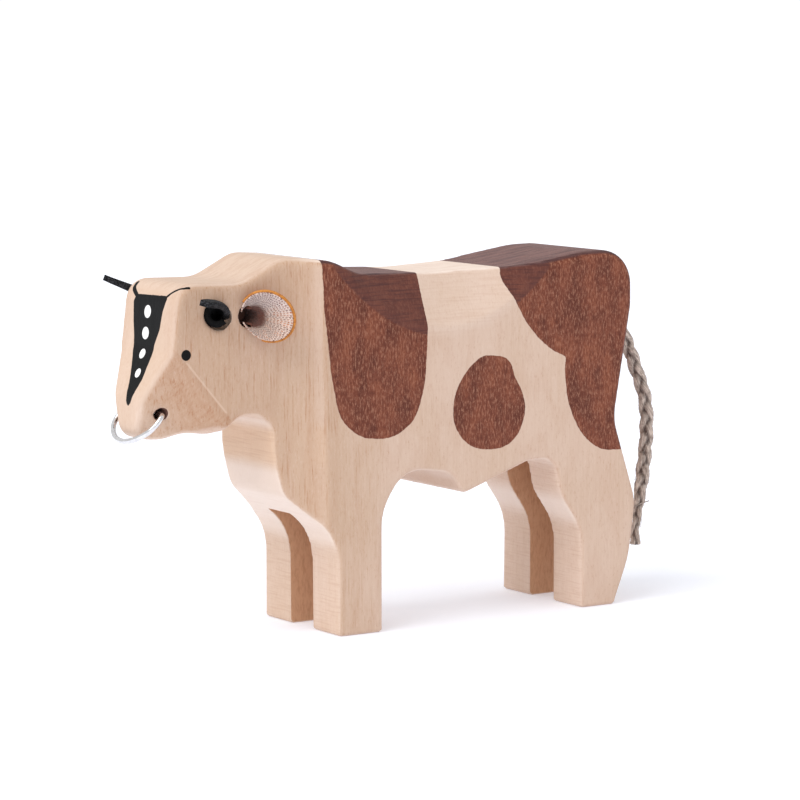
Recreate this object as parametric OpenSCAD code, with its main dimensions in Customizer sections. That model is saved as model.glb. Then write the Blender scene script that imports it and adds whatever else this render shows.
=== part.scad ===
// A carved wooden bull, sawn from one board, with leather horns and ears,
// an open steel nose ring and a plaited cord tail. Millimetres, +Z up, the head towards -X.
// The origin is on the ground, below the middle of the figure without its tail cord.

/* [Block] */
// Length of the block from the nose to the rump
body_l = 118.6; // [105:0.1:130]
// Height of the block at the withers
body_h = 79; // [70:0.5:88]
// Thickness of the board
board_t = 30; // [27:0.5:34]
// Width of the head and the neck
head_t = 22; // [19:0.5:24]
// Width of the nose at the bore for the ring
nose_t = 13.4; // [12:0.2:14]
// Rounding of the sanded edges
edge_r = 1.5; // [0.9:0.1:1.6]

/* [Legs] */
// Width of the slot between the left and the right legs
slot_w = 8.6; // [7:0.1:11]
// Height of the slot between the front legs
front_slot_h = 25; // [22:0.5:26.5]
// Height of the slot between the hind legs
hind_slot_h = 33; // [28:0.5:34]

/* [Saddle] */
// Radius of the hollow cut into each side of the back
saddle_r = 68; // [60:1:80]
// Lean of that hollow from upright, in degrees
saddle_lean = 23.3; // [20:0.1:27]
// Depth of that hollow below the withers, on the side of the block
saddle_deep = 15.6; // [12:0.2:17]

/* [Horns] */
// Diameter of the horn bores
horn_bore_d = 5.4; // [5:0.1:5.6]
// Depth of the horn bores along their axis
horn_bore_l = 4.4; // [4:0.1:4.6]
// Thickness of the horn leather
horn_leather_t = 1.2; // [0.9:0.05:1.3]
// Length of a horn outside its bore
horn_l = 12.8; // [9:0.1:15]
// Width of a horn at its tip
horn_tip_w = 2; // [1.2:0.1:2.6]
// Sideways sweep of the left horn at its tip, towards the front
left_horn_sweep = 2.9; // [0:0.1:5]
// Sideways sweep of the right horn at its tip, towards the front
right_horn_sweep = 3.5; // [0:0.1:5]
// Rise of the left horn at its tip
left_horn_rise = -2.2; // [-3:0.1:1.6]
// Rise of the right horn at its tip
right_horn_rise = 0; // [-2:0.1:1.6]

/* [Ears] */
// Diameter of the ear bores
ear_bore_d = 5; // [4.6:0.1:5.4]
// Depth of the ear bores
ear_bore_l = 4.2; // [3.6:0.1:4.5]
// Thickness of the ear's outer leather
ear_leather_t = 0.55; // [0.4:0.05:0.7]
// Thickness of the ear's woven lining
ear_lining_t = 0.4; // [0.3:0.05:0.5]
// Width of the ear's mouth from front to back
ear_w = 9.4; // [8:0.1:12]
// Height of the ear's mouth
ear_h = 10.1; // [8:0.1:12]
// Distance that the ear's back edge stands out from the neck
ear_reach = 5.7; // [4:0.1:7]

/* [Nose ring] */
// Diameter of the ring's wire
ring_wire_d = 1.15; // [0.9:0.05:1.3]
// Width of the ring between its wire's centre lines
ring_w = 16.2; // [16:0.1:17]
// Sideways play of the ring, towards the right
ring_shift = 0.4; // [-0.5:0.1:0.5]
// Reach of the ring's wire from the bore's axis
ring_reach = 7.5; // [7.2:0.1:8.4]
// Length of each end of the wire inside the bore
ring_end_l = 2.4; // [1.5:0.1:2.8]
// Diameter of the bore through the nose
nose_bore_d = 2.4; // [2.2:0.1:2.8]
// Angle of the ring below level as it rests, in degrees
ring_rest = 50; // [35:1:70]

/* [Tail] */
// Diameter of the plaited tail cord
tail_d = 3.1; // [2.6:0.1:3.4]
// Diameter of the tail's bore
tail_bore_d = 3.4; // [3.3:0.1:3.8]
// Depth of the tail's bore
tail_bore_l = 9; // [6:0.5:12]
// Angle of the tail's bore below level, in degrees
tail_bore_dip = 35; // [25:1:45]

/* [Hidden] */

// Clearance round a piece that is glued into its bore
glue_gap = 0.15;
// One overrun for every cut that runs out of the wood
overrun = 1;
// Degrees that one facet of a rounded corner turns through
corner_step = 9;
// Facets across a rounded edge
edge_steps = 4;
// Facets round an exact bore
bore_fn = 48;

// Outline of the block seen from its left side, clockwise from the front foot. Each corner has
// its place as shares of the length and the height, its corner radius as a share of the
// height, and its edge rounding as a share of edge_r.
outline_shares = [
    [0.352, 0.000, 0.008, 0.35],  // front foot, front
    [0.350, 0.260, 0.155, 0.65],  // front of the front leg
    [0.259, 0.380, 0.070, 0.65],  // breast
    [0.242, 0.466, 0.300, 0.75],  // front of the chest
    [0.235, 0.598, 0.058, 1.10],  // throat
    [0.173, 0.591, 0.065, 1.45],  // roof of the throat
    [0.150, 0.5615, 0.060, 1.50], // end of the muzzle's flat
    [0.128, 0.549, 0.051, 2.20],  // corner of the jaw
    [0.083, 0.560, 0.089, 0.80],  // hollow of the jaw
    [0.047, 0.541, 0.063, 0.80],  // chin
    [-0.001, 0.544, 0.041, 0.85], // underlip
    [0.002, 0.653, 0.076, 0.85],  // top of the nose
    [0.039, 0.772, 0.076, 0.85],  // brow
    [0.053, 0.947, 0.058, 0.90],  // poll
    [0.181, 0.943, 0.114, 0.90],  // nape
    [0.259, 1.003, 0.089, 1.00],  // front of the withers
    [0.342, 0.993, 0.152, 1.05],  // back of the withers
    [0.404, 0.953, 0.127, 1.20],  // start of the back
    [0.580, 0.943, 0.760, 1.20],  // middle of the back
    [0.740, 0.952, 0.633, 1.15],  // loin
    [0.884, 0.984, 0.316, 1.10],  // croup
    [0.992, 0.985, 0.096, 1.05],  // rump
    [0.992, 0.829, 0.152, 1.00],  // tail head
    [0.954, 0.519, 0.127, 0.85],  // thigh
    [1.0045, 0.286, 0.139, 0.80], // hock
    [0.989, 0.123, 0.253, 0.75],  // cannon
    [0.953, 0.000, 0.008, 0.35],  // hind foot, back
    [0.877, 0.000, 0.008, 0.35],  // hind foot, front
    [0.877, 0.221, 0.165, 0.60],  // front of the hind leg
    [0.829, 0.322, 0.120, 0.60],  // stifle
    [0.816, 0.424, 0.050, 0.60],  // flank
    [0.760, 0.422, 0.076, 0.60],  // groin
    [0.616, 0.347, 0.020, 0.60],  // sheath
    [0.592, 0.409, 0.070, 0.60],  // belly
    [0.492, 0.430, 0.100, 0.60],  // back of the elbow
    [0.445, 0.325, 0.140, 0.60],  // elbow
    [0.443, 0.000, 0.008, 0.35]   // front foot, back
];
// Corners of the table above where the flat of the muzzle starts and ends
jaw_corner = 6;
brow_corner = 12;
// Stretch of the length over which the neck widens into the shoulder
neck_share = [0.234, 0.325];
// Lines of the length at which the neck's curve has its facets
neck_lines_share = [0.234, 0.254, 0.273, 0.291, 0.308, 0.325];
// Centre of the saddle hollow along the length
saddle_share = 0.582;
// Where the front slot ends and the hind slot starts, along the length
slot_ends_share = [0.46, 0.75];

// Places of the bores as shares of the length and the height
horn_bore_share = [0.129, 0.862];
ear_bore_share = [0.193, 0.857];
nose_bore_share = [0.0385, 0.6115];
tail_bore_share = [0.986, 0.842];

function at(share, y = 0) = [share[0] * body_l - mid_x, y, share[1] * body_h];
function unit(v) = v / norm(v);
function mix(a, b, t) = a + (b - a) * t;

// Corner i of the outline: its place, its corner radius and its edge rounding
corner_count = len(outline_shares);
function corner(i) = let(c = outline_shares[(i + corner_count) % corner_count])
    [c[0] * body_l, c[1] * body_h];
function corner_r(i) = outline_shares[i][2] * body_h;
function corner_edge(i) = outline_shares[i][3] * edge_r;

// Points of the arc that rounds corner i, each with the edge rounding there
function corner_arc(i) = let(
        b = corner(i), u = unit(corner(i - 1) - b), v = unit(corner(i + 1) - b),
        half = acos(u * v) / 2,
        centre = b + unit(u + v) * corner_r(i) / sin(half),
        start = b + u * corner_r(i) / tan(half) - centre,
        turn = 180 - 2 * half,
        way = sign(u[0] * v[1] - u[1] * v[0]),
        steps = 2 * max(1, ceil(turn / corner_step / 2)))
    [for (k = [0 : steps]) let(a = way * turn * k / steps)
        [centre[0] + start[0] * cos(a) + start[1] * sin(a),
         centre[1] - start[0] * sin(a) + start[1] * cos(a), corner_edge(i)]];
arcs = [for (i = [0 : corner_count - 1]) corner_arc(i)];
smooth = [for (arc = arcs) for (p = arc) p];

// The same outline with a point wherever it crosses one of the neck's lines
neck_lines = neck_lines_share * body_l;
function crossings(p, q) = let(
        between = [for (x = neck_lines) if ((x - p[0]) * (x - q[0]) < 0) x],
        ahead = q[0] > p[0], n = len(between))
    [for (k = [0 : 1 : n - 1]) let(x = between[ahead ? k : n - 1 - k])
        mix(p, q, (x - p[0]) / (q[0] - p[0]))];
outline = [for (i = [0 : len(smooth) - 1]) let(p = smooth[i], q = smooth[(i + 1) % len(smooth)])
    each concat([p], crossings(p, q))];
point_count = len(outline);

// Ends of the figure without its tail cord, and the middle between them
ring_front_x = nose_bore_share[0] * body_l - ring_reach * cos(ring_rest) - ring_wire_d / 2;
front_x = min(ring_front_x, min([for (p = outline) p[0]]));
rear_x = max([for (p = outline) p[0]]);
mid_x = (front_x + rear_x) / 2;

// Direction into the wood at point i of the outline, square to the edge
function edge_way(i) = let(p = outline[(i + point_count) % point_count], q = outline[(i + 1) % point_count])
    unit([q[1] - p[1], p[0] - q[0]]);
inward = [for (i = [0 : point_count - 1]) unit(edge_way(i - 1) + edge_way(i))];
function moved_in(i, d) = [outline[i][0] + inward[i][0] * d, outline[i][1] + inward[i][1] * d];

// Half the width of the neck, a hollow arc from the head's width to the board's
function neck_half(x) = let(
        from = neck_share[0] * body_l, to = neck_share[1] * body_l,
        run = to - from, rise = (board_t - head_t) / 2, r = (run * run + rise * rise) / (2 * rise))
    x <= from ? head_t / 2 : x >= to ? board_t / 2 : head_t / 2 + r - sqrt(r * r - pow(x - from, 2));

// Points of the outline at which the muzzle's flat starts and ends, and that flat's slope
function middle_of(i) = let(arc = arcs[i]) arc[(len(arc) - 1) / 2];
function index_of(p) = [for (i = [0 : point_count - 1]) if (norm(outline[i] - p) < edge_r / 100) i][0];
jaw_point = index_of(middle_of(jaw_corner));
brow_point = index_of(middle_of(brow_corner));
seam_from = moved_in(jaw_point, outline[jaw_point][2]);
seam_to = moved_in(brow_point, outline[brow_point][2]);
seam_square = unit([seam_from[1] - seam_to[1], seam_to[0] - seam_from[0]]);
function past_seam(p) = (p - seam_from) * seam_square;
nose_past = past_seam([nose_bore_share[0] * body_l, nose_bore_share[1] * body_h]);
function half_at(p, i) = i > jaw_point && i < brow_point
    ? head_t / 2 - past_seam(p) * (head_t - nose_t) / 2 / nose_past
    : neck_half(outline[i][0]);

// Rings of points round the block, from the left face over the edges to the right face
edge_turns = [for (k = [0 : edge_steps]) 90 * k / edge_steps];
function ring_at(side, a) = [for (i = [0 : point_count - 1]) let(
        r = outline[i][2], p = moved_in(i, r * (1 - cos(a))))
    [p[0] - mid_x, side * (half_at(p, i) - r * (1 - sin(a))), p[1]]];
rings = [for (k = [edge_steps : -1 : 0]) ring_at(-1, edge_turns[k]),
         for (k = [0 : edge_steps]) ring_at(1, edge_turns[k])];

// Runs of points that bound the flat and the curved faces of one side
function is_line(i, x) = abs(outline[i][0] - x) < edge_r / 1000;
lines_below = [for (x = neck_lines) [for (i = [0 : point_count - 1])
    if (is_line(i, x) && outline[i][1] < body_h * 0.7) i][0]];
lines_above = [for (x = neck_lines) [for (i = [0 : point_count - 1])
    if (is_line(i, x) && outline[i][1] > body_h * 0.7) i][0]];
last_line = len(neck_lines) - 1;
function run(a, b) = [for (i = [a : b]) i];
side_faces = concat(
    [concat(run(lines_above[last_line], point_count - 1), run(0, lines_below[last_line]))],
    [for (j = [0 : last_line - 1])
        concat(run(lines_below[j + 1], lines_below[j]), run(lines_above[j], lines_above[j + 1]))],
    [concat(run(lines_below[0], jaw_point), run(brow_point, lines_above[0]))],
    [run(jaw_point, brow_point)]);

// Triangles of a clockwise face, cut off it one corner at a time
function turn_of(a, b, c) = (b[0] - a[0]) * (c[2] - a[2]) - (b[2] - a[2]) * (c[0] - a[0]);
function covers(a, b, c, p) = turn_of(a, b, p) <= 0 && turn_of(b, c, p) <= 0 && turn_of(c, a, p) <= 0;
function is_ear(f, k, pts) = let(
        n = len(f), before = (k + n - 1) % n, after = (k + 1) % n,
        a = pts[f[before]], b = pts[f[k]], c = pts[f[after]])
    turn_of(a, b, c) < 0 && len([for (i = [0 : n - 1])
        if (i != k && i != before && i != after && covers(a, b, c, pts[f[i]])) i]) == 0;
function first_ear(f, pts, k = 0) = k >= len(f) || is_ear(f, k, pts) ? k : first_ear(f, pts, k + 1);
function triangles(f, pts, done = []) = len(f) < 4 ? concat(done, [f]) : let(
        n = len(f), k = first_ear(f, pts) % n)
    triangles([for (i = [0 : n - 1]) if (i != k) f[i]], pts,
        concat(done, [[f[(k + n - 1) % n], f[k], f[(k + 1) % n]]]));
side_triangles = [for (f = side_faces) each triangles(f, rings[0])];

module block() {
    count = len(rings);
    far = (count - 1) * point_count;
    polyhedron(
        points = [for (ring = rings) for (p = ring) p],
        faces = concat(
            side_triangles,
            [for (f = side_triangles) [f[2] + far, f[1] + far, f[0] + far]],
            [for (j = [0 : count - 2]) for (i = [0 : point_count - 1]) let(
                a = j * point_count + i, b = j * point_count + (i + 1) % point_count)
                each [[a, a + point_count, b], [b, a + point_count, b + point_count]]]));
}

// Axes of a bore in the left side: out of the wood, to the rear and up
horn_out = unit([-0.5, -0.83, 0.24]);
horn_rear = unit(cross([0.35, 0, 1], horn_out));
horn_up = cross(horn_out, horn_rear);
horn_at = at(horn_bore_share, -head_t / 2);
ear_out = [0, -1, 0];
ear_at = at(ear_bore_share, -head_t / 2);
tail_out = [cos(tail_bore_dip), 0, -sin(tail_bore_dip)];
tail_at = at(tail_bore_share);

// A bore that starts outside the wood and ends at the given depth
module bore(mouth, out, d, depth, ahead = overrun) {
    multmatrix(frame_of(mouth + out * ahead, -out))
        cylinder(d = d, h = depth + ahead, $fn = bore_fn);
}
function frame_of(place, z) = let(
        x = unit(abs(z[2]) > 0.9 ? cross([0, 1, 0], z) : cross([0, 0, 1], z)), y = cross(z, x))
    [[x[0], y[0], z[0], place[0]], [x[1], y[1], z[1], place[1]], [x[2], y[2], z[2], place[2]], [0, 0, 0, 1]];

module both_sides() {
    children();
    mirror([0, 1, 0]) children();
}

module body() color("burlywood") difference() {
    block();
    front_slot();
    hind_slot();
    both_sides() saddle_cutter();
    both_sides() bore(horn_at, horn_out, horn_bore_d, horn_bore_l, horn_bore_d);
    both_sides() bore(ear_at, ear_out, ear_bore_d, ear_bore_l);
    translate(at(nose_bore_share)) rotate([90, 0, 0])
        cylinder(d = nose_bore_d, h = head_t, center = true, $fn = bore_fn);
    bore(tail_at, tail_out, tail_bore_d, tail_bore_l, tail_bore_d);
}

module front_slot() {
    to = slot_ends_share[0] * body_l;
    translate([-mid_x - overrun, -slot_w / 2, -overrun])
        cube([to + overrun, slot_w, front_slot_h + overrun]);
}

module hind_slot() {
    from = slot_ends_share[1] * body_l;
    translate([from - mid_x, -slot_w / 2, -overrun])
        cube([body_l - from + board_t, slot_w, hind_slot_h + overrun]);
}

// A leaning drum that hollows the left side of the back
module saddle_cutter() {
    low = [saddle_share * body_l - mid_x, -board_t / 2, body_h - saddle_deep];
    translate(low) rotate([-saddle_lean, 0, 0]) translate([0, -saddle_r, -saddle_deep])
        cylinder(r = saddle_r, h = 4 * saddle_deep, $fn = 2 * bore_fn);
}

// A sheet of leather or cloth over a grid of u and v, between two offsets from its surface
module sheet(skin, us, vs, low, high) {
    cols = len(us);
    size = cols * len(vs);
    function square(u, v) = let(
            eps = 0.001, a = skin(u + eps, v) - skin(u - eps, v),
            b = skin(u, v + eps) - skin(u, v - eps))
        unit(cross(a, b));
    function side(t) = [for (v = vs) for (u = us) skin(u, v) + t * square(u, v)];
    cells = [for (j = [0 : len(vs) - 2]) for (i = [0 : cols - 2]) j * cols + i];
    rim = concat(run(0, cols - 1), [for (j = [1 : len(vs) - 1]) j * cols + cols - 1],
        [for (i = [cols - 2 : -1 : 0]) (len(vs) - 1) * cols + i], [for (j = [len(vs) - 2 : -1 : 1]) j * cols]);
    polyhedron(
        points = concat(side(low), side(high)),
        faces = concat(
            [for (c = cells) each [[c, c + 1, c + cols], [c + 1, c + cols + 1, c + cols]]],
            [for (c = cells) let(d = c + size) each [[d, d + cols, d + 1], [d + 1, d + cols, d + cols + 1]]],
            [for (k = [0 : len(rim) - 1]) let(a = rim[k], b = rim[(k + 1) % len(rim)])
                each [[a, a + size, b], [b, a + size, b + size]]]));
}

// Surface of a horn: rolled to a cone that closes at the bottom of the bore, filling its mouth,
// and opening from there to a narrow flat tip. Coordinate u runs across the leather from its
// front edge, -1, to its rear edge, 1, and v from the bottom of the bore, -1, over its mouth, 0,
// to the tip, 1. The front of the roll is cut away just outside the bore.
horn_roll_r = horn_bore_d / 2 - glue_gap - horn_leather_t / 2;
horn_mouth = horn_roll_r * 0.6;
// Share of the roll's radius that is left at the bottom of the bore
horn_close = 0.42;
// Share of the horn's length over which the front of the roll is cut away
horn_cut = 0.06;
function horn_skin(u, v, sweep, rise) = let(
        out = v < 0 ? mix(horn_mouth, 2 * glue_gap - horn_bore_l, -v) : mix(horn_mouth, horn_l, v),
        t = max(0, v), curl = max(0.02, 1 - t) / horn_roll_r,
        front = mix(horn_roll_r * mix(4.3, 0.6, min(1, t / horn_cut)), horn_tip_w / 2, pow(t, 0.7)),
        rear = mix(horn_roll_r * 1.6, horn_tip_w / 2, pow(t, 0.7)),
        across = u < 0 ? u * front : u * rear, a = across * curl * 180 / PI,
        close = mix(1, horn_close, max(0, -v)))
    horn_at + horn_out * out + t * t * ([0, 0, rise] - horn_rear * sweep)
        + close * (horn_rear * sin(a) / curl + horn_up * (horn_roll_r - (1 - cos(a)) / curl));
module horn(sweep, rise) color([0.09, 0.09, 0.09])
    sheet(function(u, v) horn_skin(u, v, sweep, rise), [for (k = [-9 : 9]) k / 9],
        concat([-1, -0.5], [for (k = [0 : 5]) k / 5 * horn_cut], [0.1, 0.2, 0.3, 0.42, 0.56, 0.7, 0.85, 1]),
        -horn_leather_t / 2, horn_leather_t / 2);
module horn_left() horn(left_horn_sweep, left_horn_rise);
module horn_right() mirror([0, 1, 0]) horn(right_horn_sweep, right_horn_rise);

// Surface between the two plies of an ear: rolled in its bore and opening to a wide mouth.
// Coordinate u is the angle round the mouth from its back edge, v as for a horn.
ear_roll_r = ear_bore_d / 2 - glue_gap - ear_leather_t;
ear_lip = ear_leather_t + glue_gap;
function ear_skin(u, v) = let(
        root = [ear_roll_r * cos(u), v < 0 ? mix(-ear_lip, ear_bore_l, -v) : -ear_lip,
            ear_roll_r * sin(u)],
        open = (1 + cos(u)) / 2,
        mouth = [ear_w / 2 * (cos(u) + 1) - ear_roll_r - ear_h * 0.094 * sin(u),
            -ear_lip - glue_gap - (ear_reach - ear_lip) * pow(open, 0.8), ear_h / 2 * sin(u)])
    ear_at + mix(root, mouth, max(0, v));
ear_turns = [for (k = [-14 : 14]) k * 12];
ear_rows = [-1, 0, 0.25, 0.5, 0.75, 1];
module ear_leather() color("peru")
    sheet(function(u, v) ear_skin(u, v), ear_turns, ear_rows, 0, ear_leather_t);
module ear_lining() color("mistyrose")
    sheet(function(u, v) ear_skin(u, v), ear_turns, ear_rows, -ear_lining_t, 0);
module ear_leather_left() ear_leather();
module ear_leather_right() mirror([0, 1, 0]) ear_leather();
module ear_lining_left() ear_lining();
module ear_lining_right() mirror([0, 1, 0]) ear_lining();

// The ring is one wire: a wide front bow, two round shoulders and two ends bent into the bore.
// It is drawn flat, with its reach along +X and the bore's axis along Y, and then laid over.
bow_turn = 45;
shoulder_r = ring_w / 4;
bow_r = shoulder_r + (ring_w / 2 - shoulder_r) / sin(bow_turn);
bow_x = ring_reach - bow_r;
shoulder_at = [bow_x, 0] + (bow_r - shoulder_r) * [cos(bow_turn), sin(bow_turn)];
bend_r = ring_wire_d;
// Turn of the shoulder at which it bends sharply, so that the end lies on the bore's axis
bend_turn = acos((bend_r - shoulder_at[0]) / (shoulder_r - bend_r));
bend_at = shoulder_at + (shoulder_r - bend_r) * [cos(bend_turn), sin(bend_turn)];
// Points along the right half of the wire: their places and the turn of the wire there
function wire_point(centre, r, turn) = [centre[0] + r * cos(turn), centre[1] + r * sin(turn), turn];
half_wire = concat(
    [for (k = [0 : 5]) wire_point([bow_x, 0], bow_r, bow_turn * k / 6)],
    [for (k = [0 : 5]) wire_point(shoulder_at, shoulder_r, mix(bow_turn, bend_turn, k / 6))],
    [for (k = [0 : 5]) wire_point(bend_at, bend_r, mix(bend_turn, 180, k / 5))],
    [[0, bend_at[1] - ring_end_l, 180]]);
whole_wire = concat(
    [for (k = [len(half_wire) - 1 : -1 : 1]) [half_wire[k][0], -half_wire[k][1], -half_wire[k][2]]],
    half_wire);
wire_sides = 12;
function wire_hoop(p) = [for (k = [0 : wire_sides - 1]) let(a = 360 * k / wire_sides)
    [p[0], p[1], 0] + ring_wire_d / 2 * [cos(a) * cos(p[2]), cos(a) * sin(p[2]), -sin(a)]];
module nose_ring() color("silver")
    translate(at(nose_bore_share, ring_shift)) rotate([0, -ring_rest, 0]) mirror([1, 0, 0])
        tube([for (p = whole_wire) wire_hoop(p)]);

// A closed tube through a row of hoops with the same number of points
module tube(hoops) {
    sides = len(hoops[0]);
    last = len(hoops) - 1;
    cells = [for (i = [0 : last - 1]) for (k = [0 : sides - 1]) [i * sides + k, i * sides + (k + 1) % sides]];
    polyhedron(
        points = [for (hoop = hoops) each hoop],
        faces = concat(
            [run(0, sides - 1)], [[for (k = [sides - 1 : -1 : 0]) last * sides + k]],
            [for (c = cells) each [[c[0], c[0] + sides, c[1]], [c[1], c[0] + sides, c[1] + sides]]]));
}

// Length of tail cord that stands out of its bore before the free stretch starts
tail_stub = tail_d / 2;
tail_start = tail_at + tail_out * tail_stub;
// Route of the free tail cord from there, in millimetres
tail_route = [[0, 0, 0], [2.2, 0, -1.6], [4.8, 0, -3.8], [7.2, 0, -6.6], [9.2, 0, -10.2], [10.9, 0, -14],
    [12.4, 0, -17.6], [13.9, 0, -21.4], [14.7, 0, -25.4], [14.9, 0, -29.4], [14.6, 0, -33.6], [14.1, 0, -38],
    [13.5, 0, -42.2], [12.8, 0, -46.4], [12.2, 0, -50.4], [11.8, 0, -53.4], [11.8, 0, -55.8]];
tail_sides = 8;
route_last = len(tail_route) - 1;
function route_way(i) = i == 0 ? tail_out : unit(tail_route[min(i + 1, route_last)] - tail_route[i - 1]);
function tail_hoop(i) = let(x = [0, 1, 0], y = cross(route_way(i), x))
    [for (k = [0 : tail_sides - 1]) let(a = 360 * (k + 0.5) / tail_sides)
        tail_start + tail_route[i] + tail_d / 2 * (x * cos(a) + y * sin(a))];
module tail_root() color("tan")
    multmatrix(frame_of(tail_start, -tail_out))
        cylinder(d = tail_d, h = tail_bore_l + tail_stub, $fn = bore_fn);
module tail_cord() color("tan") tube([for (i = [0 : route_last]) tail_hoop(i)]);

body();
horn_left();
horn_right();
ear_leather_left();
ear_leather_right();
ear_lining_left();
ear_lining_right();
nose_ring();
tail_root();
tail_cord();
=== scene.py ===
# A carved wooden bull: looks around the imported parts. Metres in Blender, millimetres in the tables.
import math

import bpy
import numpy as np
from mathutils import Matrix, Vector


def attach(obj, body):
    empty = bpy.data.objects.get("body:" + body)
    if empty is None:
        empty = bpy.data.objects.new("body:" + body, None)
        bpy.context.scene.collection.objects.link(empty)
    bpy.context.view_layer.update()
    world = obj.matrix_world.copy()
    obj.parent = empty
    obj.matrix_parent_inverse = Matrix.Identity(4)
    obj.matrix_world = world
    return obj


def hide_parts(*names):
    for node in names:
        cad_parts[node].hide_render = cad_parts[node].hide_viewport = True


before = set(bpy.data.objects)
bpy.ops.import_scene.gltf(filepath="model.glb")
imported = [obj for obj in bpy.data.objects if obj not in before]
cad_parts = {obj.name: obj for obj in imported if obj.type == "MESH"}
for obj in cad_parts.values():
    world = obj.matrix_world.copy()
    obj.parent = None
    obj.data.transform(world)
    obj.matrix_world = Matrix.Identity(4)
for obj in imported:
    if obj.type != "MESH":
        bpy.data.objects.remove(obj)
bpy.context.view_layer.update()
mm = 0.001


# A dictionary whose entries are also read and written as facts.name
class Facts(dict):
    __getattr__ = dict.__getitem__
    __setattr__ = dict.__setitem__


# Points closer than weldGaps, in mm, become one; a ply is drawn a little thin, so that glued plies don't touch
weldGaps = Facts(solid=0.002, tube=0.0005)
curveSteps = Facts(route=24, outline=5)
plyShare = 0.98


def deselectAll():
    bpy.ops.object.select_all(action="DESELECT")


def takeUp(piece):
    deselectAll()
    piece.select_set(True)
    bpy.context.view_layer.objects.active = piece


def readVectors(rows, name):
    flat = np.zeros(len(rows) * 3)
    rows.foreach_get(name, flat)
    return flat.reshape(-1, 3)


def readPoints(piece):
    return readVectors(piece.data.vertices, "co") / mm


def writePoints(piece, points):
    piece.data.vertices.foreach_set("co", (points * mm).ravel())
    piece.data.update()


def writeValue(piece, name, values):
    layer = piece.data.attributes.new(name, "FLOAT", "POINT")
    layer.data.foreach_set("value", values.astype(np.float32))


def applyModifier(piece, kind, settings):
    takeUp(piece)
    modifier = piece.modifiers.new(kind.title(), kind)
    for name, value in settings.items():
        setattr(modifier, name, value)
    bpy.ops.object.modifier_apply(modifier=modifier.name)


def weld(piece, gap, close=False):
    takeUp(piece)
    bpy.ops.object.mode_set(mode="EDIT")
    bpy.ops.mesh.select_all(action="SELECT")
    bpy.ops.mesh.remove_doubles(threshold=gap * mm)
    if close:
        bpy.ops.mesh.fill_holes(sides=0)
        bpy.ops.mesh.normals_make_consistent(inside=False)
    bpy.ops.object.mode_set(mode="OBJECT")


def copyOfNode(node, name):
    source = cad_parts[node]
    piece = source.copy()
    piece.data = source.data.copy()
    piece.parent = None
    for key in list(piece.keys()):
        del piece[key]
    piece.name = piece.data.name = name
    bpy.context.scene.collection.objects.link(piece)
    weld(piece, weldGaps.solid)
    return piece


# A flat grid whose points are then laid on a curved skin; u and v run from 0 to 1
def layGrid(name, across, along, skin):
    deselectAll()
    bpy.ops.mesh.primitive_grid_add(x_subdivisions=across, y_subdivisions=along, size=2)
    piece = bpy.context.object
    piece.name = piece.data.name = name
    flat = readPoints(piece) * mm
    writePoints(piece, skin((flat[:, 0] + 1) / 2, (flat[:, 1] + 1) / 2))
    return piece


# A closed tube round a line; halves gives its half width and half depth
def layTube(name, line, sides, side, depth, halves):
    last = len(line) - 1

    def skin(u, v):
        row = np.rint(v * last).astype(int)
        angle = 2 * math.pi * u
        wide, deep = halves(row, u)
        wide, deep = wide * np.cos(angle), deep * np.sin(angle)
        return line[row] + side[row] * wide[:, None] + depth[row] * deep[:, None]

    tube = layGrid(name, sides, last, skin)
    weld(tube, weldGaps.tube, close=True)
    return tube


# A ply is a skin made thick; its cut edges take the second material
def thicken(piece, thick):
    applyModifier(piece, "SOLIDIFY", {"thickness": thick * plyShare * mm, "offset": 0,
                                      "material_offset_rim": 1, "use_even_offset": True})


def joinAll(pieces, name):
    takeUp(pieces[0])
    for piece in pieces:
        piece.select_set(True)
    bpy.ops.object.join()
    joined = bpy.context.object
    joined.name = joined.data.name = name
    return joined


def finishPiece(piece, finishes, body, replaced):
    takeUp(piece)
    bpy.ops.object.shade_smooth()
    piece.data.materials.clear()
    for finish in finishes:
        piece.data.materials.append(finish)
    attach(piece, body)
    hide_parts(replaced)


def unit(v):
    v = np.asarray(v, float)
    return v / np.linalg.norm(v, axis=-1, keepdims=True)


def mix(a, b, t):
    return a + (b - a) * t


# Points of a smooth curve from b to c, whose neighbours are a and d
def curvePoints(a, b, c, d, steps):
    return [0.5 * (2 * b + (c - a) * t + (2 * a - 5 * b + 4 * c - d) * t * t + (3 * b - a - 3 * c + d) * t ** 3)
            for t in np.linspace(0, 1, steps, endpoint=False)]


# One output of a material's nodes, with sums written as Python
class Signal:
    def __init__(self, tree, socket=None):
        self.tree = tree
        self.socket = socket

    def node(self, kind, values=None, out=0, **settings):
        made = self.tree.nodes.new("ShaderNode" + kind)
        for name, value in settings.items():
            setattr(made, name, value)
        for name, value in (values or {}).items():
            if isinstance(value, Signal):
                self.tree.links.new(value.socket, made.inputs[name])
            else:
                made.inputs[name].default_value = value
        return Signal(self.tree, made.outputs[out])

    def maths(self, operation, *others):
        return self.node("Math", dict(enumerate((self,) + others)), operation=operation)

    def vectorMaths(self, operation, values, out=0):
        return self.node("VectorMath", {0: self, **values}, out, operation=operation)

    def sendOut(self, output):
        output = self.tree.nodes.new("ShaderNodeOutput" + output)
        self.tree.links.new(self.socket, output.inputs["Surface"])

    def __add__(self, other):
        return self.maths("ADD", other)

    def __sub__(self, other):
        return self.maths("SUBTRACT", other)

    def __mul__(self, other):
        return self.maths("MULTIPLY", other)

    def __rsub__(self, other):
        return self.node("Math", {0: other, 1: self}, operation="SUBTRACT")

    __radd__ = __add__
    __rmul__ = __mul__


def newFinish(name):
    material = bpy.data.materials.new(name)
    material.use_nodes = True
    material.node_tree.nodes.clear()
    nodes = Signal(material.node_tree)
    nodes.material = material
    return nodes


def placeInMm(nodes):
    return nodes.node("TexCoord", out=3).vectorMaths("SCALE", {3: 1 / mm})


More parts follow.
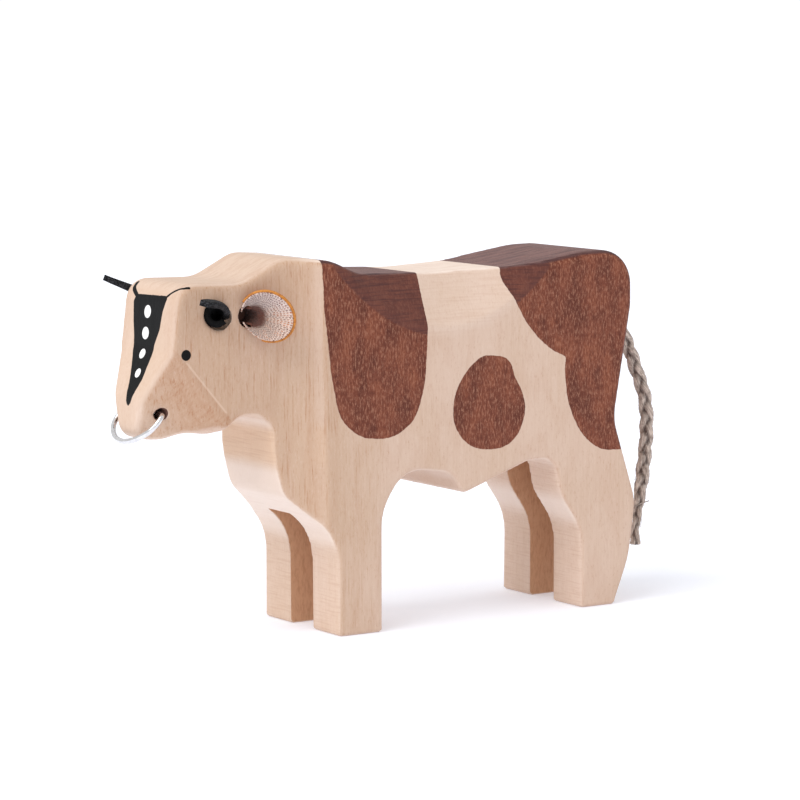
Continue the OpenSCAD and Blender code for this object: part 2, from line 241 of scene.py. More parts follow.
def flatPlace(nodes):
    return nodes.node("UVMap", uv_map="UVMap")


# The x, y and z of a vector
def parts(vector):
    split = vector.node("SeparateXYZ", {0: vector}).socket.node
    return [Signal(vector.tree, socket) for socket in split.outputs]


def stretch(vector, x, y, z):
    return vector.vectorMaths("MULTIPLY", {1: (x, y, z)})


# Each grain: how often it changes along x, y and z in 1/mm, its detail and its roughness
grainFacts = Facts(
    drift=((0.045, 0.03, 0.012), 2, 0.5), fibres=((2.3, 1.2, 0.07), 4, 0.6),
    threads=((2.5, 2.2, 0.12), 3, 0.65), grit=((2.7, 2.7, 0.85), 3, 0.75),
    clouds=((0.07, 0.09, 0.03), 3, 0.5), streaks=((0.75, 0.9, 0.016), 3, 0.55),
    rungs=((0.11, 0.1, 2.7), 3, 0.7), lanes=((0.08, 0.8, 0.4), 4, 0.75),
    sawn=((1.3, 0.07, 0.2), 3, 0.6), mottle=((0.22, 0.2, 0.1), 4, 0.6),
    tufts=((2.7, 2.2, 0.8), 4, 0.75), wander=((1.1, 1.1, 1.1), 2, 0.5),
    slot=((1.6, 1.6, 0.5), 4, 0.7), hide=((1.6, 1.6, 1.6), 4, 0.6), cut=((4, 4, 4), 4, 0.75),
    tan=((1.2, 1.2, 1.2), 4, 0.6), haze=((1.4, 1.4, 1.4), 3, 0.5), flax=((0.9, 0.9, 0.9), 3, 0.5),
    wound=((1, 1, 1), 4, 0.75),
)


def grain(vector, name):
    scale, detail, rough = grainFacts[name]
    place = stretch(vector, *scale)
    return place.node("TexNoise", {"Vector": place, "Scale": 1, "Detail": detail, "Roughness": rough})


def ease(value, low, high, start=0.0, end=1.0):
    return value.node("MapRange", {0: value, 1: low, 2: high, 3: start, 4: end},
                      interpolation_type="SMOOTHSTEP")


# Fades in from the first limit to the second and out from the third to the fourth, if there are four
def band(value, limits):
    first, full = limits[:2]
    shown = ease(value, first, full) if first < full else ease(value, full, first, 1.0, 0.0)
    return shown * ease(value, *limits[2:], 1.0, 0.0) if limits[2:] else shown


def onScreen(red, green, blue):
    return tuple(c / 12.92 if c <= 0.04045 else ((c + 0.055) / 1.055) ** 2.4
                 for c in (red / 255, green / 255, blue / 255)) + (1.0,)


# A colour that is typed is red, green and blue as on a screen, from 0 to 255
def between(a, b, factor):
    a, b = (end if isinstance(end, Signal) else onScreen(*end) for end in (a, b))
    return factor.node("Mix", {0: factor, 6: a, 7: b}, out=2, data_type="RGBA")


# Lays colours over a base one after another, each as strongly as its factor says
def overlay(base, *layers):
    for colour, factor in layers:
        base = between(base, colour, factor)
    return base


def attribute(nodes, name):
    return nodes.node("Attribute", out=2, attribute_name=name)


# A fixed chance from 0 to 1 for each whole number
def chance(value, shift=0.0):
    return value.node("TexWhiteNoise", {"W": value + shift}, noise_dimensions="1D")


# Relief is the height that the light sees, and depth is how much of it, in mm
def closeFinish(nodes, values, relief=None, depth=0):
    if relief is not None:
        bump = nodes.node("Bump", {"Strength": 1.0, "Distance": depth * mm, "Height": relief})
        values = dict(values, Normal=bump)
    nodes.node("BsdfPrincipled", values).sendOut("Material")
    return nodes.material


# Camera
cameraFacts = Facts(place=(-0.39008, -0.60556, 0.13058), yaw=-33.297, pitch=6.614, roll=-0.076,
                    lens=153.42, sensor=36)


def addCamera(facts):
    yaw, pitch, roll = (math.radians(facts[key]) for key in ("yaw", "pitch", "roll"))
    back = np.array([math.sin(yaw) * math.cos(pitch), -math.cos(yaw) * math.cos(pitch), math.sin(pitch)])
    right = np.array([math.cos(yaw), math.sin(yaw), 0])
    up = np.cross(back, right)
    turned = np.array([right * math.cos(roll) + up * math.sin(roll),
                       up * math.cos(roll) - right * math.sin(roll), back]).T
    bpy.ops.object.camera_add()
    camera = bpy.context.object
    camera.matrix_world = Matrix.Translation(facts.place) @ Matrix(turned.tolist()).to_4x4()
    camera.data.lens, camera.data.sensor_width = facts.lens, facts.sensor
    bpy.context.scene.camera = camera
    return right


pictureRight = addCamera(cameraFacts)
print("camera is up")


# Tail: three strands of flax plaited round the route that the tail cord has in the parts
tailFacts = Facts(
    mouth=(57.83, 0, 66.52), start=(59.10, 0, 65.63), inside=9, thick=3.1,
    route=[(0, 0), (2.2, -1.6), (4.8, -3.8), (7.2, -6.6), (9.2, -10.2), (10.9, -14), (12.4, -17.6),
           (13.9, -21.4), (14.7, -25.4), (14.9, -29.4), (14.6, -33.6), (14.1, -38), (13.5, -42.2),
           (12.8, -46.4), (12.2, -50.4), (11.8, -53.4), (11.8, -55.8)],
    pitch=14.1, sway=0.72, lift=0.42, halfWidth=0.89, halfDepth=0.7,
    taper=[(0, 1), (46, 1), (51.5, 0.8), (55.5, 0.62), (57.5, 0.6), (59.6, 0.72), (61.5, 0.86)],
    rootTaper=[(-20, 0.97), (1, 0.97)], rootShort=0.1, step=0.25, pathStride=4,
    seed=7, sides=22, rough=0.035, ridges=6, ridgeHigh=0.09, ridgeTurn=3.4,
    proudFrom=0.75, proudOver=0.75, leastSize=0.3,
)

# Loose fibres: how they start, run and stand off the line, in rows of the line and in mm
hairFacts = Facts(
    seed=11, count=90, skip=(4, 20), rows=(8, 16), turn=0.5, flat=0.9, curl=1.5,
    off=1.3, offShares=(0.85, 0.7), offChange=0.75, stand=(0.15, 0.6), radius=(0.03, 0.055),
    sides=4, slant=(0.3, 0.9, 0.2),
    wisp=[(70.02, -0.4, 18.32), (73.69, -1.5, 19.62)], wispBow=0.12, wispRadius=0.13,
)


def smoothRoute(points, step):
    points = np.asarray(points, float)
    ends = np.vstack([2 * points[0] - points[1], points, 2 * points[-1] - points[-2]])
    fine = []
    for a, b, c, d in zip(ends, ends[1:], ends[2:], ends[3:]):
        fine += curvePoints(a, b, c, d, curveSteps.route)
    fine = np.array(fine + [points[-1]])
    run = np.concatenate([[0], np.cumsum(np.linalg.norm(np.diff(fine, axis=0), axis=1))])
    at = np.linspace(0, run[-1], int(run[-1] / step) + 1)
    return at, np.array([np.interp(at, run, fine[:, k]) for k in range(3)]).T


# Across the line as the photograph sees it, and away from the viewer
def tailAxes(line):
    way = unit(np.gradient(line, axis=0))
    side = unit(pictureRight - way * (way @ pictureRight)[:, None])
    return side, np.cross(way, side)


def strandLine(facts, run, line, number):
    side, depth = tailAxes(line)
    turn = 2 * math.pi * (run / facts.pitch + number / 3)
    size = np.interp(run, *zip(*facts.taper))
    return line + (side * (facts.sway * size * np.sin(turn))[:, None]
                   + depth * (facts.lift * size * np.sin(2 * turn))[:, None]), size


def plait(facts, run, line):
    dice = np.random.default_rng(facts.seed)
    sides = facts.sides
    strands = []
    for number in range(3):
        middle, size = strandLine(facts, run, line, number)
        way = unit(np.gradient(middle, axis=0))
        side = tailAxes(line)[0]
        side = unit(side - way * np.sum(way * side, axis=1)[:, None])
        rough = dice.normal(0, facts.rough, (len(run), sides))

        def halves(row, u):
            turned = facts.ridges * 2 * math.pi * u + 2 * math.pi * run[row] / facts.ridgeTurn
            spot = np.rint(u * sides).astype(int) % sides
            ridges = 1 + facts.ridgeHigh * np.cos(turned) + rough[row, spot]
            return facts.halfWidth * size[row] * ridges, facts.halfDepth * size[row] * ridges

        strand = layTube(f"strand_{number}", middle, sides, side, np.cross(way, side), halves)
        apart = np.linalg.norm(readPoints(strand)[:, None] - line[None], axis=2)
        away = apart.min(axis=1) / np.maximum(size[apart.argmin(axis=1)], facts.leastSize)
        writeValue(strand, "proud", np.clip((away - facts.proudFrom) / facts.proudOver, 0, 1))
        strands.append(strand)
    return strands


def thinThread(facts, points, radius, name):
    way = unit(np.gradient(points, axis=0))
    side = unit(np.cross(way, facts.slant))
    thread = layTube(name, points, facts.sides, side, np.cross(way, side), lambda row, u: (radius, radius))
    writeValue(thread, "proud", np.ones(len(thread.data.vertices)))
    return thread


# Loose fibres that stand off the plait, and one pale wisp near its end
def addHairs(facts, line):
    dice = np.random.default_rng(facts.seed)
    side, depth = tailAxes(line)
    skipStart, skipEnd = facts.skip
    hairs = []
    for number in range(facts.count):
        row = dice.integers(skipStart, len(line) - skipEnd)
        count = int(dice.integers(*facts.rows))
        turn = dice.uniform(0, 2 * math.pi)
        rows = np.minimum(row + np.arange(count), len(line) - 1)
        run = np.linspace(0, 1, count)
        turns = turn + dice.normal(0, facts.turn) * run
        off = facts.off * facts.offShares[int(row >= len(line) * facts.offChange)]
        reach = off + dice.uniform(*facts.stand) * run ** facts.curl
        points = line[rows] + (side[rows] * np.cos(turns)[:, None]
                               + depth[rows] * np.sin(turns)[:, None] * facts.flat) * reach[:, None]
        hairs.append(thinThread(facts, points, dice.uniform(*facts.radius), f"hair_{number}"))
    start, end = np.array(facts.wisp)
    bow = mix(start, end, 0.5) + [0, 0, facts.wispBow]
    hairs.append(thinThread(facts, np.array([start, bow, end]), facts.wispRadius, "wisp"))
    return hairs


def addTail(facts):
    start = np.array(facts.start)
    route = [start + np.array([x, 0, z]) for x, z in facts.route]
    run, line = smoothRoute(route, facts.step)
    tail = joinAll(plait(facts, run, line) + addHairs(hairFacts, line), "tail_plait")
    free = float(run[-1])
    path = np.vstack([[facts.mouth], line[::facts.pathStride]])
    return tail, path * mm, free


tail, tailPath, tailFree = addTail(tailFacts)
print("tail is plaited,", round(tailFree, 1), "mm free")


# The end of the tail inside its bore, one plain stretch of the same plait
def addTailRoot(facts):
    mouth, start = np.array(facts.mouth), np.array(facts.start)
    way = unit(start - mouth)
    inner = mouth - way * (facts.inside - facts.rootShort)
    reach = np.linalg.norm(start - inner)
    run = np.linspace(0, reach, int(reach / facts.step) + 1)
    line = inner + way * run[:, None]
    back = Facts(facts, taper=facts.rootTaper)
    return joinAll(plait(back, run - reach, line), "tail_end")


tailRoot = addTailRoot(tailFacts)


# Paint on the body. The brown patches are outlines on its side, in mm from the front of the front leg and from the
# ground; the blaze and its ovals are across and up; distances beyond "reach" are all the same
paintFacts = Facts(
    shift=17.61, reach=8,
    shoulder=[(-3.4, 95), (-3.4, 77.9), (-3.2, 73.6), (-3, 68.4), (-2.3, 62.2), (-1.6, 56), (-0.6, 50.7),
              (0.1, 47.6), (1.3, 45.2), (3.5, 43), (6, 41.55), (8.4, 41), (11.2, 40.8), (13.9, 41.2),
              (16.4, 42.3), (18.7, 44.2), (20.4, 47.3), (21.7, 52.5), (22.2, 58.8), (22.4, 64),
              (22.5, 70), (22.7, 78), (22.7, 95)],
    spot=[(38.25, 56.7), (40.8, 56.4), (42.7, 55.7), (44, 54.1), (44.75, 51.7), (46.1, 49.5), (47.1, 47),
          (47.4, 44.4), (46.6, 41.3), (45, 38.8), (42.7, 37.2), (39.6, 36.6), (35.7, 36.9), (32.6, 38.2),
          (30.3, 40.5), (29, 43.3), (28.9, 46.1), (29.3, 48.6), (30.3, 50.9), (31.8, 53.1), (34.1, 55.3),
          (36.2, 56.5)],
    rump=[(43.6, 95), (43.6, 79), (42.9, 75), (42.6, 72.8), (43.9, 69.7), (45.5, 66.9), (47.1, 64.2),
          (49.2, 61.5), (51.8, 59), (54.7, 56.9), (58.2, 55.3), (57.9, 52.4), (58.2, 49.1), (58.75, 45.9),
          (59.8, 43), (61.5, 39.8), (63.6, 37.25), (66.3, 35.3), (69, 34.3), (71.5, 34.2), (73.1, 34.15),
          (95, 34.15), (95, 95)],
    rumpCorners=[10, 21, 22, 0],
    blaze=[(5.63, 71.86), (2.3, 71.97), (-1.83, 72.08), (-6.33, 72.21), (-6.87, 71.68), (-5.72, 68.98),
           (-5.14, 65.31), (-3.64, 62.15), (-3.53, 58.95), (-3.46, 55.19), (-1.63, 50.44), (-0.63, 49.63),
           (0.26, 50.46), (0.24, 51.27), (1.11, 54.18), (2.84, 57.62), (4.65, 60.46), (5.09, 63.48),
           (5.93, 66.48), (6.66, 70.52)],
    blazeBehind=-48, lineSoft=0.05,
    ovals=[(0.43, 68.63, 1.33, 1.3), (0.48, 64.26, 1.34, 1.26), (0.38, 60.11, 1.08, 0.97),
           (-0.79, 56.34, 0.98, 0.9)],
    lines=[(0.33, [(-52.98, -6.16, 71.91), (-52.72, -6.87, 72.42), (-52.46, -7.42, 72.83),
                   (-51.99, -8.33, 73.37), (-51.53, -9.27, 73.78), (-51.03, -10.15, 74.0),
                   (-50.05, -10.65, 74.05)]),
           (0.52, [(-53.05, 5.83, 71.7), (-52.82, 6.87, 72.24), (-52.56, 7.7, 72.68), (-52.2, 8.23, 73.16),
                   (-51.78, 8.39, 73.59), (-51.28, 8.6, 73.96)])],
    seam=[(-50.9, 0, 58.8), (-41.9, 0, 48.3)], eye=(-51.08, 60.47), eyeRadius=1.12,
)


def roundedOutline(points, corners=()):
    points = np.asarray(points, float)
    count = len(points)
    fine = []
    for k in range(count):
        b, c = points[k], points[(k + 1) % count]
        a = b if k in corners else points[k - 1]
        d = c if (k + 1) % count in corners else points[(k + 2) % count]
        fine += curvePoints(a, b, c, d, curveSteps.outline)
    return np.array(fine)


# Distance from an outline in mm, below zero inside it
def outlineDistance(points, outline):
    best = np.full(len(points), np.inf)
    inside = np.zeros(len(points), bool)
    for a, b in zip(outline, np.roll(outline, -1, axis=0)):
        way = b - a
        t = np.clip((points - a) @ way / (way @ way), 0, 1)
        best = np.minimum(best, np.linalg.norm(points - a - t[:, None] * way, axis=1))
        crosses = (a[1] > points[:, 1]) != (b[1] > points[:, 1])
        inside ^= crosses & (points[:, 0] < a[0] + (points[:, 1] - a[1]) * way[0] / (way[1] or 1))
    return np.where(inside, -best, best)


# "muzzle" says how far aside, how far ahead and how low its seam is kept sharp
bodyFacts = Facts(
    voxel=0.515, smoothing=4, smoothShare=0.5, softFrom=0.5, softOver=0.8, sharpAngle=50,
    slotHalf=4.3, slotTops=(25, 33), slotEnds=(-4.6, 29.9), slotMore=0.15, slotPast=0.3,
    slotSpan=70, slotUnder=10, slotNear=0.1, slotSkin=0.02, muzzle=(9, -38, 62),
    drumLow=(9.91, -15, 63.4), drumLean=23.3, drumRadius=68, drumSkin=0.2,
)


# How freely each point may be smoothed: not at all by the slots, the feet and the muzzle's seam
def softness(points, facts, paint):
    soft = np.ones(len(points))
    x, y, z = points.T
    top = np.where(x < 0, *facts.slotTops)
    nearSlot = np.maximum(np.abs(np.abs(y) - facts.slotHalf), z - top - facts.slotPast)
    nearTop = np.maximum(np.abs(z - top), np.abs(y) - facts.slotHalf - facts.slotPast)
    a, b = (np.array(end)[[0, 2]] for end in paint.seam)
    way = unit(b - a)
    across = np.abs((points[:, [0, 2]] - a) @ [way[1], -way[0]])
    aside, ahead, high = facts.muzzle
    seam = np.where((np.abs(y) > aside) & (x < ahead) & (z < high), across, np.inf)
    for near in (nearSlot, nearTop, z, seam):
        soft = np.minimum(soft, np.clip((near - facts.softFrom) / facts.softOver, 0, 1))
    return soft


# The slots between the legs are cut again, a little wider, to keep their edges sharp
def cutSlots(body, facts):
    front, hind = facts.slotEnds
    span, under = facts.slotSpan, facts.slotUnder
    wide = 2 * (facts.slotHalf + facts.slotMore)
    for low, high, top in ((-span, front, facts.slotTops[0]), (hind, span, facts.slotTops[1])):
        deselectAll()
        bpy.ops.mesh.primitive_cube_add(size=1, location=((low + high) / 2 * mm, 0, (top - under) / 2 * mm))
        cutter = bpy.context.object
        cutter.dimensions = ((high - low) * mm, wide * mm, (top + under) * mm)
        bpy.ops.object.transform_apply(location=False, rotation=False, scale=True)
        applyModifier(body, "BOOLEAN", {"object": cutter, "operation": "DIFFERENCE", "solver": "EXACT"})
        takeUp(cutter)
        bpy.ops.object.delete()


# For the wood's colours: how far each point is from the paint, if it lies in the hollow, and how it faces
def markBody(body, facts, paint):
    points = readPoints(body)
    reach = paint.reach
    side = points[:, [0, 2]] + [paint.shift, 0]
    patches = [outlineDistance(side, roundedOutline(paint.shoulder, (0, len(paint.shoulder) - 1))),
               outlineDistance(side, roundedOutline(paint.spot)),
               outlineDistance(side, roundedOutline(paint.rump, paint.rumpCorners))]
    writeValue(body, "stain", np.clip(np.min(patches, axis=0), -reach, reach))
    blaze = np.clip(outlineDistance(points[:, 1:], np.array(paint.blaze)), -reach, reach)
    writeValue(body, "blaze", np.where(points[:, 0] > paint.blazeBehind, reach, blaze))
    lean = math.radians(facts.drumLean)
    low = points - np.array(facts.drumLow)
    low[:, 1] = -np.abs(points[:, 1]) - facts.drumLow[1]
    across = low[:, 1] * math.cos(lean) - low[:, 2] * math.sin(lean)
    away = np.abs(np.hypot(low[:, 0], across + facts.drumRadius) - facts.drumRadius)
    writeValue(body, "hollow", 1 - np.clip(away - facts.drumSkin, 0, 1))
    ahead, aside, above = readVectors(body.data.vertex_normals, "vector").T
    writeValue(body, "ahead", np.abs(ahead))
    writeValue(body, "aside", np.abs(aside))
    writeValue(body, "above", above)


def addBody(facts, paint):
    body = copyOfNode("body", "carved_body")
    applyModifier(body, "REMESH", {"mode": "VOXEL", "voxel_size": facts.voxel * mm})
    soft = body.vertex_groups.new(name="soft")
    weights = np.round(softness(readPoints(body), facts, paint), 1)
    for weight in np.unique(weights[weights > 0]):
        soft.add(np.flatnonzero(weights == weight).tolist(), float(weight), "REPLACE")
    applyModifier(body, "SMOOTH", {"factor": facts.smoothShare, "iterations": facts.smoothing,
                                   "vertex_group": "soft"})
    cutSlots(body, facts)
    markBody(body, facts, paint)
    return body


body = addBody(bodyFacts, paintFacts)
print("body is carved,", len(body.data.polygons), "faces")

# Wood, stain and paint
headPlaces = Facts(horn=(-43.81, -11, 68.10), ear=(-36.22, -11, 67.70), nose=(-54.544, 0, 48.31))
woodFacts = Facts(
    pale=(215, 188, 169), warm=(204, 174, 150), line=(178, 130, 98),
    cream=(246, 232, 222), seam=(236, 208, 186), honey=(236, 200, 164),
    slot=(200, 155, 122), slotDark=(180, 134, 102),
    stain=(124, 68, 50), stainDark=(80, 38, 30), stainLight=(178, 128, 104),
    stainTop=(124, 92, 89), stainHollow=(98, 60, 54), stainEdge=(74, 44, 44),
    stainWarm=(150, 88, 62), black=(7, 7, 8), white=(246, 245, 243),
    boreRadii={"horn": 2.72, "ear": 2.52, "nose": 1.4}, layersInMm=0.72, drift=9, slotToned=(0.4, 0.75),
)

# The limits between which each mark or part of the body is seen, in mm for the parts
woodBands = Facts(
    layers=(0.2, 1), threads=(0.56, 0.68), grains=(0.54, 0.7), glints=(0.46, 0.3),
    streaks=(0.5, 0.78), rungs=(0.46, 0.66), lanes=(0.42, 0.62), sawn=(0.48, 0.68),
    warmth=(0.45, 0.85), endways=(0.45, 0.8), topside=(0.55, 0.9), underside=(-0.5, -0.85),
    edge=(0.12, 0.37, 0.68, 0.88), fore=(4, -26), cheekDeep=(6.5, 9.5, 11.2, 14.8),
    cheekAhead=(-18, -38), muzzleBelow=(0, 0.4), muzzleDeep=(4.5, 8), muzzleHigh=(33, 35),
    crease=(-25, -21.5, -20.6, -20.1), creaseAside=(0.6, 0.75), chest=(-41, -36, -10, -4),
    hind=(18, 22), plainFrom=(17, 21), plainAhead=(0.3, 0.5), plainAside=(0.7, 0.4),
    throat=(34.5, 38), roof=(43, 45.5), rimLow=(38, 34), rim=(0.5, 0.65, 0.85, 0.97),
    flecks=(0.48, 0.64), pores=(0.5, 0.36), scooped=(0.3, 0.6), dark=(0.42, 0.68), rust=(0.5, 0.3),
    painted=(0.06, -0.06), eye=(1.04, 0.95), oval=(1.05, 0.95), bore=(1.0, 0.98), seam=(0.3, 0.1),
    stainRim=(-0.4, -0.05), back=(-26, -20), plainTops=((34, 38), (23, 27)),
)

# How strongly each mark shows; a pair is the least and the most
woodShares = Facts(
    layers=0.08, threads=0.14, foreThreads=0.34, calmHollow=0.8, grains=0.3, streaks=0.2,
    cheek=0.16, muzzle=0.22, sawn=0.14, crease=0.12, creaseThreads=0.2, glints=0.1,
    clouds=0.7, fibres=0.4, fore=0.24, topCream=(0.26, 0.66), hollowCream=0.14,
    endCream=0.14, plainCream=0.42, underCream=0.3, edgeCream=0.05, throat=0.3,
    endRungs=0.2, hollowRungs=0.13, underRungs=0.1, topLanes=0.2, rim=0.1, rimThreads=0.25,
    seam=0.32, darkStain=0.65, rust=0.5, flecks=0.25, mottledFlecks=0.6,
    scoopedFlecks=0.5, pores=0.5, stainThreads=0.3, scooped=0.6, topStain=0.8,
    scoopedRungs=0.65, stainLanes=0.7, stainEdge=0.75, stainRim=0.1, bore=0.9,
)
woodRough = Facts(bare=0.56, fibres=0.12, stain=0.12, paint=0.06)
woodRelief = Facts(grit=0.8, threads=0.4, pores=0.6, paint=0.4)

# How far a painted border strays from its line, in mm
strays = Facts(stain=0.3, blaze=0.2, line=0.15, eye=0.08)


def lineDistance(place, points):
    nearest = None
    for a, b in zip(points, points[1:]):
        way = np.subtract(b, a)
        local = place.vectorMaths("SUBTRACT", {1: a})
        along = local.vectorMaths("DOT_PRODUCT", {1: tuple(way / (way @ way))}, out=1)
        along = along.node("Clamp", {0: along})
        foot = along.vectorMaths("SCALE", {0: tuple(way), 3: along})
        away = local.vectorMaths("DISTANCE", {1: foot}, out=1)
        nearest = away if nearest is None else nearest.maths("MINIMUM", away)
    return nearest


# 1 on an oval's outline and less inside it; with no half size along an axis it runs on along it
def ovalDistance(place, centre, halves):
    local = place.vectorMaths("SUBTRACT", {1: centre})
    local = stretch(local, *[1 / half if half else 0 for half in halves])
    return local.vectorMaths("LENGTH", {}, out=1)


# How far a spot on the side lies below a straight line, and how far along it, in mm
def besideLine(ahead, height, ends):
    (startX, _, startZ), (endX, _, endZ) = sorted((ends[0], ends[-1]))
    long = math.hypot(endX - startX, endZ - startZ)
    wayX, wayZ = (endX - startX) / long, (endZ - startZ) / long
    aheadOf, above = ahead - startX, height - startZ
    return aheadOf * wayZ - above * wayX, aheadOf * wayX + above * wayZ


# All that the wood's colours are mixed by: its grains, and where on the body a spot lies
def woodMarks(nodes, paint):
    at = Facts(place=placeInMm(nodes))
    place, see = at.place, woodBands
    at.ahead, across, height = parts(place)
    depth = across.maths("ABSOLUTE")
    facing, above, at.hollow, aside = (attribute(nodes, name) for name in ("ahead", "above", "hollow", "aside"))
    at.endways = band(facing, see.endways)
    at.topside = band(above, see.topside)
    at.underside = band(above, see.underside)
    at.edge = band(aside, see.edge) * (1 - at.hollow)
    at.sides = 1 - at.endways.maths("MAXIMUM", at.topside)

    # growth layers lie one behind the other across the board, and drift slowly along it
    layers = across * woodFacts.layersInMm + grain(place, "drift") * woodFacts.drift
    at.layers = band((layers * (2 * math.pi)).maths("SINE"), see.layers)
    at.fibres, at.grit, at.clouds = (grain(place, name) for name in ("fibres", "grit", "clouds"))
    for name in ("threads", "streaks", "rungs", "lanes"):
        at[name] = band(grain(place, name), see[name])
    at.grains, at.glints = band(at.grit, see.grains), band(at.grit, see.glints)
    at.wander = grain(place, "wander") - 0.5

    at.fore = band(at.ahead, see.fore)
    at.cheek = band(depth, see.cheekDeep) * band(at.ahead, see.cheekAhead)
    below, along = besideLine(at.ahead, height, paint.seam)
    # painted shade: the flat of the muzzle, which faces down, is made darker; the saw streaks on it are real
    at.muzzle = band(below, see.muzzleBelow) * band(depth, see.muzzleDeep) * (1 - at.endways)
    at.muzzle = at.muzzle * band(height, see.muzzleHigh)
    beside = below.node("CombineXYZ", {0: along, 1: below, 2: depth})
    at.sawn = band(grain(beside, "sawn"), see.sawn)
    at.crease = band(at.ahead, see.crease) * band(aside, see.creaseAside)
    chest, hind = band(at.ahead, see.chest), band(at.ahead, see.hind)
    at.legs = chest + hind
    tops = (mix(onChest, onHind, hind) for onChest, onHind in zip(*see.plainTops))
    plain = band(height, see.plainFrom) * ease(height, *tops, 1.0, 0.0)
    at.plain = plain * at.legs * band(facing, see.plainAhead) * band(aside, see.plainAside)
    at.throat = at.endways * chest * band(height, see.throat)
    at.roof = band(height, see.roof)
    at.rim = hind * band(height, see.rimLow) * band(aside, see.rim)
    # painted light: the tops are made lighter, more so behind the neck
    at.back = ease(at.ahead, *see.back, *woodShares.topCream)
    return at


# The head and the shoulder are a little browner than the flank. Where the saw ran round the outline the wood is
# creamier, partly as painted light from the front, with fine lines across it in some stretches. Tops, the hollow
# of the back, undersides and rounded edges are painted lighter, as painted light
def paleWood(facts, paint, at):
    share, see = woodShares, woodBands
    warmth = at.clouds * share.clouds + at.fibres * share.fibres + at.fore * share.fore
    dark = at.layers * share.layers + at.threads * (at.fore * share.foreThreads + share.threads)
    dark = (dark * at.sides * (1 - at.hollow * share.calmHollow) + at.grains * share.grains
            + at.streaks * at.fore * at.sides * share.streaks + at.cheek * share.cheek
            + at.muzzle * (share.muzzle + at.sawn * share.sawn)
            + at.crease * (share.crease + at.threads * share.creaseThreads))
    # painted light: tops, the hollow of the back, undersides and rounded edges are made lighter; the faces round
    # the outline are paler wood with painted light from the front, and the plain fronts of the legs are paler wood
    cream = (at.topside * at.back + at.hollow * share.hollowCream + at.endways * share.endCream
             + at.plain * share.plainCream + at.underside * share.underCream + at.edge * share.edgeCream)
    at.lined = (at.endways * at.legs * (1 - at.plain) * (1 - at.throat * at.roof) * share.endRungs
                + at.hollow * share.hollowRungs + at.underside * share.underRungs)
    lines = (at.rungs * at.lined + at.lanes * at.topside * share.topLanes
             + at.rim * (share.rim + at.threads * share.rimThreads))
    # painted highlight: a thin light line along the muzzle's seam
    seam = band(lineDistance(stretch(at.place, 1, 0, 1), paint.seam), see.seam)
    return overlay(facts.pale, (facts.warm, band(warmth, see.warmth)), (facts.line, dark),
                   (facts.cream, at.glints * share.glints), (facts.cream, cream),
                   (facts.honey, at.throat * (1 - at.roof) * share.throat),
                   (facts.cream, at.throat * at.roof * share.throat),
                   (facts.line, lines), (facts.seam, seam * share.seam))


def brownStain(facts, at):
    share, see = woodShares, woodBands
    mottle, tufts = grain(at.place, "mottle"), grain(at.place, "tufts")
    at.pores = band(tufts, see.pores)
    scooped = band(at.hollow, see.scooped)
    flecks = band(tufts, see.flecks) * (share.flecks + mottle * share.mottledFlecks)
    # painted shade on the rounded edges of the patches; the streaks in the hollow and along the tops are grain
    linesAndEdgeShade = (scooped * at.rungs * share.scoopedRungs + at.topside * at.lanes * share.stainLanes
             + at.edge * share.stainEdge)
    # painted sheen: the tops of the brown patches are made greyer and lighter
    return overlay(facts.stain, (facts.stainDark, band(mottle, see.dark) * share.darkStain),
                   (facts.stainWarm, band(mottle, see.rust) * share.rust),
                   (facts.stainLight, flecks * (1 - scooped * share.scoopedFlecks)),
                   (facts.stainDark, at.pores * share.pores + at.threads * share.stainThreads),
                   (facts.stainHollow, scooped * share.scooped),
                   (facts.stainTop, at.topside * share.topStain), (facts.stainEdge, linesAndEdgeShade))


# Where the black paint lies: the blaze, the two lines above it and the eyes
def blackPaint(nodes, paint, at):
    painted = band(attribute(nodes, "blaze") + at.wander * strays.blaze, woodBands.painted)
    for half, points in paint.lines:
        away = lineDistance(at.place, points) + at.wander * strays.line
        line = ease(away, half - paint.lineSoft, half + paint.lineSoft, 1.0, 0.0)
        painted = painted.maths("MAXIMUM", line)
    x, z = paint.eye
    eye = ovalDistance(at.place, (x, 0, z), (paint.eyeRadius, 0, paint.eyeRadius))
    eye = band(eye + at.wander * strays.eye, woodBands.eye)
    return painted.maths("MAXIMUM", eye)


def whiteOvals(paint, at):
    nearest = None
    for y, z, wide, high in paint.ovals:
        oval = ovalDistance(at.place, (0, y, z), (0, wide, high))
        nearest = oval if nearest is None else nearest.maths("MINIMUM", oval)
    inFront = at.ahead.maths("LESS_THAN", paint.blazeBehind)
    return band(nearest, woodBands.oval) * inFront


def woodFinish(facts, paint):
    nodes = newFinish("painted_wood")
    at = woodMarks(nodes, paint)
    border = attribute(nodes, "stain") + at.wander * strays.stain
    stained, painted = band(border, woodBands.painted), blackPaint(nodes, paint, at)
    wood = paleWood(facts, paint, at)
    brown = between(brownStain(facts, at), facts.stainDark, band(border, woodBands.stainRim) * woodShares.stainRim)
    colour = overlay(wood, (brown, stained), (facts.black, painted), (facts.white, whiteOvals(paint, at)))
    # painted shade: the wood inside the bores of the horns, the ears and the nose ring is made dark
    for name, radius in facts.boreRadii.items():
        x, _, z = headPlaces[name]
        boreShade = band(ovalDistance(at.place, (x, 0, z), (radius, 0, radius)), woodBands.bore)
        colour = between(colour, facts.stainDark, boreShade * woodShares.bore)

    rough = (woodRough.bare + at.fibres * woodRough.fibres - stained * woodRough.stain
             - painted * woodRough.paint)
    relief = (at.grit * woodRelief.grit - at.threads * woodRelief.threads - at.rungs * at.lined
              - at.pores * stained * woodRelief.pores + painted * woodRelief.paint)
    values = {"Base Color": colour, "Roughness": rough, "IOR": 1.4, "Specular IOR Level": 0.22}
    return closeFinish(nodes, values, relief, depth=0.03)


